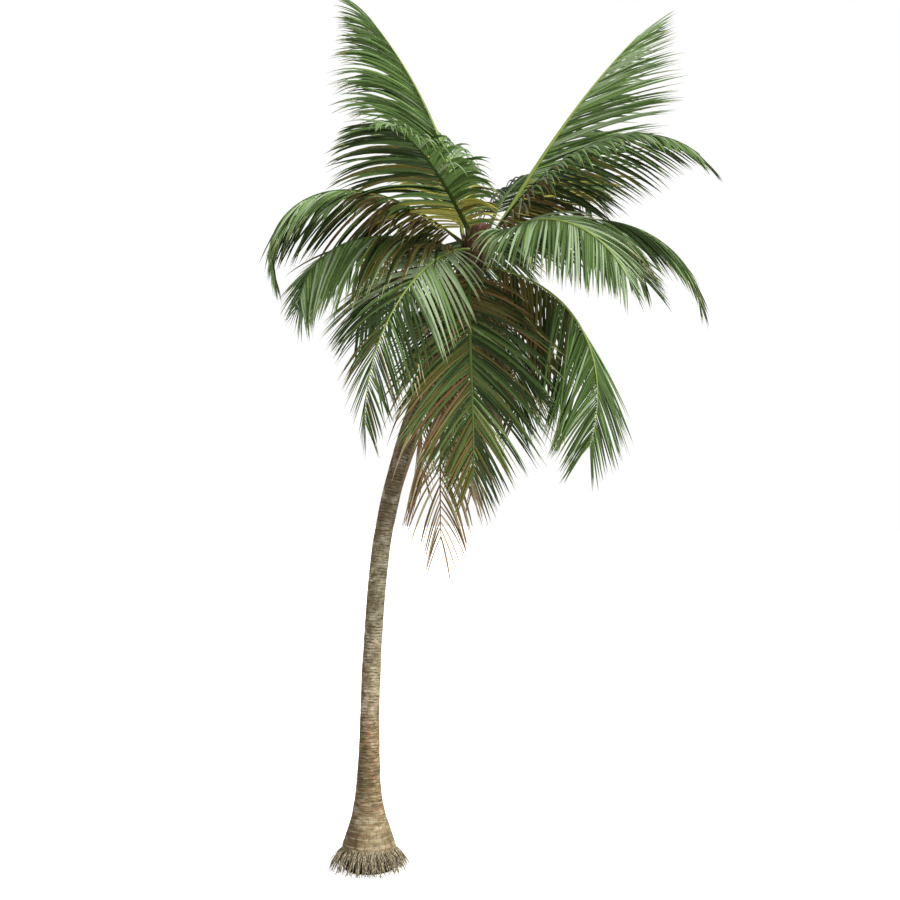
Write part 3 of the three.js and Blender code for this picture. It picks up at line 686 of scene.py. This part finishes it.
def on_rib(rib, share):
    """The rib's place and directions at any shares."""
    def at(key):
        return np.stack([np.interp(share, rib["share"], rib[key][:, k]) for k in range(3)], -1)
    return at("point"), unit(at("forward")), unit(at("left")), unit(at("upper"))


def rib_size(sizes, share):
    """A rib's width or thickness: it narrows fast along its stalk and slowly along its blade."""
    petiole = mix(sizes["seat"], sizes["blade"], share / PETIOLE)
    blade = mix(sizes["blade"], sizes["tip"], (share - PETIOLE) / (1 - PETIOLE))
    return np.where(share < PETIOLE, petiole, blade)


ribs = {name: rib_rule(frond) for name, frond in FRONDS.items()}
rib_nodes = {name: [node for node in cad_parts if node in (name, name + "_base", name + "_tip")]
             for name in FRONDS}
print("ribs:", len(ribs), "for", sum(map(len, rib_nodes.values())), "solids")

# %% [markdown]
# ## Ribs
#
# A rib is a green stalk that is broad and channelled where it clasps the trunk, and thin and round at
# its tip. It is a tube whose section is flatter on top than below.

# %% Rib tubes
RIB_STATIONS = 72
RIB_SIDES = 10
RIB_SECTION = {"top": 0.8, "below": 1.15}
CHANNEL = {"deep": 0.35, "wide": 0.45, "ends": (0.1, 0.45)}
RIB_TINTS = {"green": "#4c6228", "dark": "#2f4017", "pale": "#7f9140", "dry": "#6b4f32"}


def rib_tube(frond, rib):
    """A rib as one closed tube, with a channel in the upper side of its stalk."""
    share = np.linspace(0, 1, RIB_STATIONS) ** 1.15
    point, _, left, upper = on_rib(rib, share)
    turn = np.linspace(0, math.tau, RIB_SIDES, endpoint=False)
    wide = frond["slim"] * rib_size(RIB_WIDTH, share)[:, None] / 2 * np.cos(turn)
    over = np.sin(turn)
    hollow = 1 - smoothstep(share, *CHANNEL["ends"])
    channel = np.exp(-(np.cos(turn) / CHANNEL["wide"]) ** 2) * (over > 0) * hollow[:, None]
    bulge = np.where(over > 0, RIB_SECTION["top"], RIB_SECTION["below"]) * over
    thick = frond["stout"] * rib_size(RIB_THICK, share)[:, None] / 2
    thick = thick * (bulge - CHANNEL["deep"] * channel)
    rings = point[:, None] + left[:, None] * wide[..., None] + upper[:, None] * thick[..., None]
    return tubes(rings[None])


# %% [markdown]
# ## Leaflets
#
# Each side of a frond carries 60 to 90 leaflets, and of a dry one about 40. A leaflet is a strap folded
# along its middle like a roof, broad for half its length and drawn out to a thread. It leaves the rib
# at an angle that closes towards the tip, and its weight bends it down. All leaflets of a row are
# worked out together as arrays, and each is dealt a colour, so that the crown isn't a single green.

# %% Colours and how they are dealt
TINTS = {
    "deep": "#2c3b18", "leaf": "#4a612f", "fresh": "#6b8849", "sage": "#8a9d76", "olive": "#605b2b",
    "ochre": "#a7a14b", "rust": "#6f5733", "brown": "#7d6749", "straw": "#a89c78", "pale": "#8f9163",
}
DEALS = {  # in hundredths of a row
    "green": {"deep": 34, "leaf": 40, "fresh": 18, "sage": 5, "olive": 3},
    "even": {"deep": 10, "leaf": 66, "fresh": 16, "sage": 8},
    "shade": {"deep": 55, "leaf": 30, "fresh": 8, "olive": 7},
    "fresh": {"deep": 6, "leaf": 26, "fresh": 52, "sage": 16},
    "sage": {"sage": 68, "fresh": 14, "leaf": 18},
    "grey": {"sage": 32, "fresh": 28, "leaf": 40},
    "bright": {"leaf": 16, "fresh": 66, "sage": 18},
    "yellowing": {"ochre": 70, "olive": 12, "fresh": 18},
    "silver": {"sage": 85, "fresh": 15},
    "rusty": {"rust": 36, "olive": 40, "deep": 24},
    "tawny": {"olive": 50, "deep": 34, "rust": 16},
    "ageing": {"deep": 32, "leaf": 34, "olive": 28, "rust": 6},
    "dry": {"brown": 50, "rust": 25, "straw": 25},
}
BASE_BLUR = (0.6, 1.5)
END_BLUR = (0.8, 1.2)


def deal_tints(frond, side, leafed, draw):
    """A colour for each leaflet of a row: the base's deal near the trunk, then that of its side."""
    names = []
    for place in leafed:
        row = frond["left" if side > 0 else "right"]
        if place < frond["base_share"] * draw.uniform(*BASE_BLUR):
            row = frond["base"]
        elif frond["end"] and place > frond["end_share"] * draw.uniform(*END_BLUR):
            row = frond["end"]
        deal = DEALS[row]
        names.append(draw.choice(list(deal), p=[part / 100 for part in deal.values()]))
    return np.array(names)


# %% The shape of a row of leaflets
LEAFLET_PITCH = 0.038
LEAFLET_STEPS = 40
LEAFLET_WEIGHT = 1.6
CLUMP_EVERY = 3.5
STRAY = {"place": 0.12, "angle": 2, "fold": 4, "droop": 0.12, "length": 0.035, "width": 0.1}
TWIST = {"whole": 0.25, "tip": 0.5}
STATIONS = np.array([0, 0.06, 0.15, 0.26, 0.38, 0.5, 0.61, 0.72, 0.82, 0.91, 1.0])
POINT_FROM = 0.4
ROOF_ANGLE = math.radians(32)
BLADE_THICK = 0.003


def leaflet_share(leafed):
    """Leaflets are shorter at the first pair, longest at a quarter of the blade, and short at the tip."""
    return mix(0.62, 1, smoothstep(leafed, 0, 0.25)) * mix(1, 0.42, smoothstep(leafed, 0.4, 1.05))


def leaflet_paths(frond, rib, side, draw):
    """The middle lines of a row's leaflets, with their headings, lengths and place on the blade."""
    count = round(frond["length"] * (1 - PETIOLE) / LEAFLET_PITCH / frond["sparse"])
    stray = draw.normal(0, STRAY["place"] / count, count)
    leafed = np.clip(np.linspace(frond["bare"], 1, count) + stray, 0, 1)
    share = PETIOLE + (1 - PETIOLE) * mix(0.012, 0.985, leafed)
    point, forward, left, upper = on_rib(rib, share)
    angle = frond["spread"] * mix(*LEAFLET_ANGLE, leafed**0.9)
    fold = mix(frond["fold"], frond.get("furl", frond["fold"] * USUAL_FURL), leafed)
    knots = np.arange(0, count + 6, CLUMP_EVERY)
    clump = np.interp(np.arange(count), knots, draw.normal(0, 1, len(knots)))
    angle = np.radians(angle + draw.normal(0, STRAY["angle"], count) + frond["clump"] * clump)[:, None]
    fold = np.radians(fold + draw.normal(0, STRAY["fold"], count))[:, None]
    aside = left * np.cos(fold) * side + upper * np.sin(fold)
    start = aside * np.sin(angle) + forward * np.cos(angle)
    lighter = mix(1, 0.55, smoothstep(leafed, 0.5, 1))
    weight = frond["droop"] * LEAFLET_WEIGHT * lighter
    droop = (weight * draw.normal(1, STRAY["droop"], count))[:, None, None]
    fine = np.linspace(0, 1, LEAFLET_STEPS + 1)[None, :, None]
    heading = unit(start[:, None] - UP * droop * fine**1.3)
    length = LEAFLET_LENGTH * frond["leaf"] * leaflet_share(leafed)
    length = length * draw.normal(1, STRAY["length"], count)
    run = np.cumsum(heading, axis=1) - heading
    root = point + aside * rib_size(RIB_WIDTH, share)[:, None] * 0.4
    path = root[:, None] + run * length[:, None, None] / LEAFLET_STEPS
    at = np.round(STATIONS * LEAFLET_STEPS).astype(int)
    return path[:, at], heading[:, at], forward, length, leafed


def leaflet_row(frond, rib, side, draw):
    """Rings of the leaflets on one side of a rib, and each one's place on the blade."""
    path, heading, forward, length, leafed = leaflet_paths(frond, rib, side, draw)
    count = len(leafed)
    along = np.sum(forward[:, None] * heading, -1, keepdims=True)
    across = unit(forward[:, None] - heading * along)
    over = np.cross(heading, across)
    twist = draw.normal(0, TWIST["whole"], (count, 1, 1))
    twist = twist + draw.normal(0, TWIST["tip"], (count, 1, 1)) * STATIONS[:, None]
    across, over = turned(across, over, twist)
    drawn_out = np.clip(1 - (np.maximum(STATIONS - POINT_FROM, 0) / (1 - POINT_FROM)) ** 2.1, 0.04, 1)
    taper = mix(0.6, 1, smoothstep(STATIONS, 0, 0.2)) * drawn_out
    size = np.clip(length / (LEAFLET_LENGTH * 0.8), 0.35, 1) ** 0.7 * draw.normal(1, STRAY["width"], count)
    size *= mix(1, frond["end_wide"], smoothstep(leafed, 0.3, 0.8))
    half = (frond["wide"] / 2 * size[:, None] * taper)[..., None]
    thin = BLADE_THICK * np.minimum(1, half / 0.02)
    ridge = -over if side > 0 else over
    eaves = -ridge * half * math.tan(ROOF_ANGLE)
    first = path + across * half * math.cos(ROOF_ANGLE) + eaves
    last = path - across * half * math.cos(ROOF_ANGLE) + eaves
    top, below = path + ridge * thin, path - ridge * thin
    ring = [first, below, last, top] if side > 0 else [first, top, last, below]
    return np.stack(ring, axis=2), leafed


# %% Grow the crown
DRY_TIP_FROM = 8

rows = {tint: [] for tint in TINTS}
tint_nodes = {tint: set() for tint in TINTS}
rib_parts = {tint: [] for tint in RIB_TINTS}
rib_replaced = {tint: [] for tint in RIB_TINTS}
leaflet_count = 0
for number, (name, frond) in enumerate(FRONDS.items()):
    draw = np.random.default_rng(100 + number)
    rib, nodes = ribs[name], rib_nodes[name]
    rib_parts[frond["rib"]].append(rib_tube(frond, rib))
    rib_replaced[frond["rib"]] += nodes
    for side in (1, -1):
        rings, leafed = leaflet_row(frond, rib, side, draw)
        leaflet_count += len(rings)
        dealt = deal_tints(frond, side, leafed, draw)
        tipped = draw.random(len(dealt)) < frond["tip_chance"]
        rows[frond["tips"]].append(rings[tipped][:, DRY_TIP_FROM:])
        tint_nodes[frond["tips"]].update(nodes)
        for tint in sorted(set(dealt)):
            whole = rings[(dealt == tint) & ~tipped]
            cut_short = rings[(dealt == tint) & tipped][:, :DRY_TIP_FROM + 1]
            rows[tint] += [whole, cut_short]
            tint_nodes[tint].update(nodes)
print("leaflets:", leaflet_count)


# %% [markdown]
# A palm leaf is waxy, so it has a soft sheen but no mirror. A leaflet is too small for a pattern of its
# own. Its colour is the one it was dealt, and a broad faint noise through the whole crown makes one
# spray a little glossier than the next. Dry colours are duller.

# %% Finishes of leaflets and ribs
LEAF_ROUGHNESS = 0.5
DRY_ROUGHNESS = 0.75


def waxy(name, colour, roughness):
    """One leaf colour, with a gloss that is a little uneven."""
    material, tree, shader = new_material(name, roughness, 0.22)
    plug(shader.inputs["Base Color"], colour)
    place = add_node(tree, "TexCoord").outputs["Object"]
    uneven = add_noise(place, (5, 5, 5))
    gloss = add_span(uneven, 0.35, 0.65, roughness - 0.1, roughness + 0.1)
    plug(shader.inputs["Roughness"], gloss)
    return material


for tint, colour in TINTS.items():
    dull = tint in ("brown", "straw", "rust", "pale")
    material = waxy("leaflet_" + tint, colour, DRY_ROUGHNESS if dull else LEAF_ROUGHNESS)
    parts = [tubes(rings) for rings in rows[tint] if len(rings)]
    make_piece("leaflets_" + tint, parts, material, sorted(tint_nodes[tint]), 35)
for tint, colour in RIB_TINTS.items():
    material = waxy("rib_" + tint, colour, LEAF_ROUGHNESS)
    make_piece("ribs_" + tint, rib_parts[tint], material, rib_replaced[tint], 50)

# %% [markdown]
# ## The crown's heart
#
# A palm has one bud, deep in the crown. Every frond clasps the trunk in a sheath that ages to a brown
# woven cloth of fibre, and torn wraps of it cover the bud and the trunk below. A wrap is a thin sheet
# bent round the trunk's line, narrower and more ragged towards its upper edge, and loose fibres hang
# between the wraps. Wraps and sheaths have a thickness, because a single face vanishes edge on.

# %% Wraps of fibre
WRAP_GRID = 9
WRAP_THICK = 0.004
WRAP_TURN = 2.4
BUD_PROFILE = np.array([(0, 0.116), (0.068, 0.128), (0.128, 0.106), (0.17, 0.06)])


def wraps(count, low, high, radius_at, spread, flare, seed):
    """Fibre sheets round the trunk's line, between two distances from its end."""
    draw = np.random.default_rng(seed)
    up = np.linspace(0, 1, WRAP_GRID)[None, :, None]
    across = np.linspace(-1, 1, WRAP_GRID)[None, None, :]
    middle = np.arange(count)[:, None, None] * WRAP_TURN + draw.uniform(-0.2, 0.2, (count, 1, 1))
    ragged = draw.normal(0, 0.09, (count, WRAP_GRID, 1)) * up
    turn = middle + across * spread * (1 - 0.45 * up**2 + ragged)
    torn = draw.uniform(-0.5, 0.15, (count, 1, WRAP_GRID)) * 0.12 * up**3
    distance = mix(TRUNK_LENGTH + low, TRUNK_LENGTH + high, up)
    distance = distance + (high - low) * (torn - 0.12 * across**2 * up)
    layer = draw.uniform(0, 1, (count, 1, 1))
    radius = radius_at(distance) + 0.004 + 0.016 * layer + flare * up**2 * (0.4 + layer)
    return sheets(beside_trunk(distance, radius + 0 * turn, turn + 0 * distance), WRAP_THICK)


def bud_radius(distance):
    """The radius of the bud, which goes on from the trunk and closes past its end."""
    past_end = np.interp(distance - TRUNK_LENGTH, *BUD_PROFILE.T)
    return np.where(distance < TRUNK_LENGTH, trunk_radius(distance) - 0.006, past_end)


bud_wraps = wraps(9, -0.2, 0.165, bud_radius, spread=0.9, flare=0.0, seed=31)
neck_wraps = wraps(18, -0.62, -0.06, trunk_radius, spread=0.62, flare=0.075, seed=32)
low_wraps = wraps(9, -1.3, -0.86, trunk_radius, spread=0.6, flare=0.016, seed=33)
print("bud's end:", round(TRUNK_LENGTH + BUD_PROFILE[-1, 0], 2), "m along the line")

# %% The sheaths of the fronds
SHEATH_ROWS = 10
SHEATH_COLUMNS = 11
SHEATH_TURN = 0.95
SHEATH_THICK = 0.006


def sheath(frond, rib):
    """The clasping base under a frond's stalk, from the trunk's side out along the rib."""
    up = np.linspace(0, 1, SHEATH_ROWS)[:, None]
    across = np.linspace(-1, 1, SHEATH_COLUMNS)[None, :]
    draw = np.random.default_rng(round(frond["bearing"]) + 400)
    turn = math.radians(frond["bearing"]) + across * SHEATH_TURN
    distance = TRUNK_LENGTH - frond["seat"] - 0.035 - 0.05 * np.abs(across) ** 2
    clasp = beside_trunk(distance + 0 * turn, trunk_radius(distance) + 0.01, turn)
    share = 0.02 + 0.085 * up
    point, _, left, upper = on_rib(rib, share[:, 0])
    half = mix(0.1, 0.03, up) * (1 + draw.normal(0, 0.07, (SHEATH_ROWS, 1)))
    under = rib_size(RIB_THICK, share) * (0.62 - 0.35 * across**2)
    beside = point[:, None] + left[:, None] * (across * half)[..., None]
    along_rib = beside - upper[:, None] * under[..., None]
    return mix(clasp, along_rib, smoothstep(up, 0, 0.55)[..., None])


sheath_grid = np.stack([sheath(frond, ribs[name]) for name, frond in FRONDS.items()])
sheaths = sheets(sheath_grid, SHEATH_THICK)
print("sheaths:", len(FRONDS))

# %% Loose fibres
FIBRE_COUNT = 420
FIBRE_STEPS = 6
FIBRE_RADIUS = 0.0019

draw = np.random.default_rng(34)
t = np.linspace(0, 1, FIBRE_STEPS)[None, :]
fibre_from = TRUNK_LENGTH - draw.uniform(-0.1, 1.15, (FIBRE_COUNT, 1))
fibre_long = draw.uniform(0.1, 0.42, (FIBRE_COUNT, 1))
fibre_turn = draw.uniform(0, math.tau, (FIBRE_COUNT, 1)) + draw.normal(0, 0.35, (FIBRE_COUNT, 1)) * t
fibre_out = trunk_radius(fibre_from) + 0.01 + 0.2 * fibre_long * np.sin(math.pi * t * 0.7)
fibre_place = fibre_from + 0.25 * fibre_long * np.sin(math.pi * t) - fibre_long * t**2
fibre_paths = beside_trunk(fibre_place, fibre_out, fibre_turn)
fibres = round_tubes(fibre_paths, FIBRE_RADIUS * mix(1, 0.4, t) * np.ones((FIBRE_COUNT, 1)), 4)
print("fibres:", FIBRE_COUNT)

# %% Finishes of fibre and sheaths
fibre_material, tree, shader = new_material("sheath_fibre", 0.95, 0.15)
place = add_node(tree, "TexCoord").outputs["Object"]
weave = add_noise(place, (90, 90, 26))
tone = add_ramp(weave, [(0.34, "#21180f"), (0.48, "#43301f"), (0.58, "#6a4c3a"), (0.72, "#8c7365")])
bleached = add_noise(place, (6, 6, 4), detail=2)
tone = lay_over(tone, "#7d665f", bleached, 0.5, 0.68, share=0.6)
plug(shader.inputs["Base Color"], tone)
bump = add_node(tree, "Bump", Height=weave, Strength=0.5, Distance=0.005)
plug(shader.inputs["Normal"], bump.outputs["Normal"])
make_piece("bud_fibres", [bud_wraps, neck_wraps, fibres], fibre_material, ["bud_fibre"], 50)

sheath_material = streaky("clasping_sheath", 0.7, 0.2, (30, 30, 9), [
    (0.34, "#2c2613"), (0.5, "#4c4a24"), (0.62, "#6b6436"), (0.76, "#85704f")])
make_piece("frond_sheaths", [sheaths], sheath_material, ["bud_fibre"], 50)

# %% [markdown]
# ## Old leaf bases
#
# Where a frond has dropped, its base stays for a while as a woody stub. A stub is cut from a block:
# divided, stretched, narrowed upwards, hollowed on its inner side, torn at its end and softened. One is
# modelled and copied round the trunk.

# %% Model one stub
STUB = {"length": 0.23, "width": 0.115, "thick": 0.05}
STUB_NARROWS = {"width": 0.38, "thick": 0.3}
STUB_HOLLOW = 0.016

bpy.ops.mesh.primitive_cube_add(size=1, location=(0, 0, 0.5))
stub = bpy.context.object
stub.name = "stub"
bpy.ops.object.transform_apply(location=True, rotation=False, scale=False)
bpy.ops.object.mode_set(mode="EDIT")
bpy.ops.mesh.select_all(action="SELECT")
bpy.ops.mesh.subdivide(number_cuts=5)
bpy.ops.transform.resize(value=(STUB["width"], STUB["thick"], STUB["length"]), center_override=(0, 0, 0))
bpy.ops.object.mode_set(mode="OBJECT")

draw = np.random.default_rng(41)
for vertex in stub.data.vertices:
    x, y, z = vertex.co
    up = z / STUB["length"]
    narrow = 1 - STUB_NARROWS["width"] * up
    hollow = STUB_HOLLOW * up * (1 - (2 * x / STUB["width"]) ** 2)
    torn = draw.uniform(-0.03, 0.012) if up > 0.98 else 0
    vertex.co = Vector((x * narrow, y * (1 - STUB_NARROWS["thick"] * up) + hollow, z + torn))
softened = stub.modifiers.new("soften", "SUBSURF")
softened.levels = softened.render_levels = 1
bpy.ops.object.modifier_apply(modifier=softened.name)
print("stub:", len(stub.data.polygons), "faces")

# %% Copy it round the trunk and wrap its foot
STUB_COUNT = 7
STUB_LOW = (1.29, 1.1)
STUB_LEAN = 0.05
STUB_OFF_BARK = 0.012

stub_points = np.array([vertex.co for vertex in stub.data.vertices])
stub_faces = [list(face.vertices) for face in stub.data.polygons]
stubs = []
for number in range(STUB_COUNT):
    turn = np.array(4 * math.pi * number / STUB_COUNT)
    distance = np.array(TRUNK_LENGTH - mix(*STUB_LOW, number / (STUB_COUNT - 1)))
    off = trunk_radius(distance) + STUB_OFF_BARK
    foot_place = beside_trunk(distance, off, turn)
    head_place = beside_trunk(distance + STUB["length"], off + STUB_LEAN, turn)
    rise = unit(head_place - foot_place)
    across = np.array([-math.sin(turn), math.cos(turn), 0.0])
    inner = unit(np.cross(rise, across))
    across = np.cross(inner, rise)
    stubs.append((foot_place + stub_points @ np.stack([across, inner, rise]), stub_faces))
bpy.data.objects.remove(stub)

stub_material = streaky("old_stub", 0.85, 0.2, (50, 50, 14), [
    (0.34, "#3a2413"), (0.5, "#6d4423"), (0.62, "#8a5c33"), (0.76, "#a27c50")])
make_piece("leaf_stubs", stubs, stub_material, ["old_leaf_bases"], 50)
make_piece("stub_wraps", [low_wraps], fibre_material, ["old_leaf_bases"], 50)
